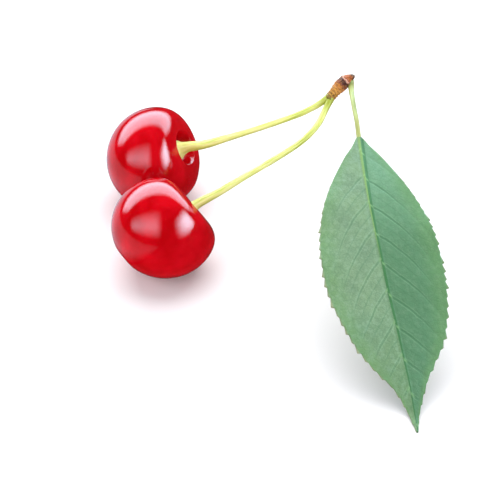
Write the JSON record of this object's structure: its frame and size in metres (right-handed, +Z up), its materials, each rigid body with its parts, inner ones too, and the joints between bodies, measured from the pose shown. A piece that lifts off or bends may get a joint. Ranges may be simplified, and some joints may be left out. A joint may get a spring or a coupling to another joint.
{
  "type": "cherry",
  "caption": "Sprig of ripe red sour cherries: glossy round fruits on long pale stems, joined at a short woody spur with one saw-toothed leaf.",
  "frame": {"origin": "centre of the small flat spot that the front fruit stands on", "axes": "+Z up from the surface it lies on, +Y from the leaf's tip towards the fruits and spur, +X from the fruits towards the leaf"},
  "size_m": [0.0747, 0.0893, 0.0343],
  "materials": {
    "cherry_skin": "very glossy waxy red fruit skin",
    "green_stem": "satin pale yellow-green plant stem",
    "spur_bark": "rough brown bark with ring scars",
    "leaf_blade": "matte grey-green leaf with fine veins"
  },
  "bodies": {
    "root": {"fruit_front": "cherry_skin", "fruit_rear": "cherry_skin", "stem_front": "green_stem", "stem_rear": "green_stem", "spur": "spur_bark", "leaf": "leaf_blade"}
  },
  "joints": []
}
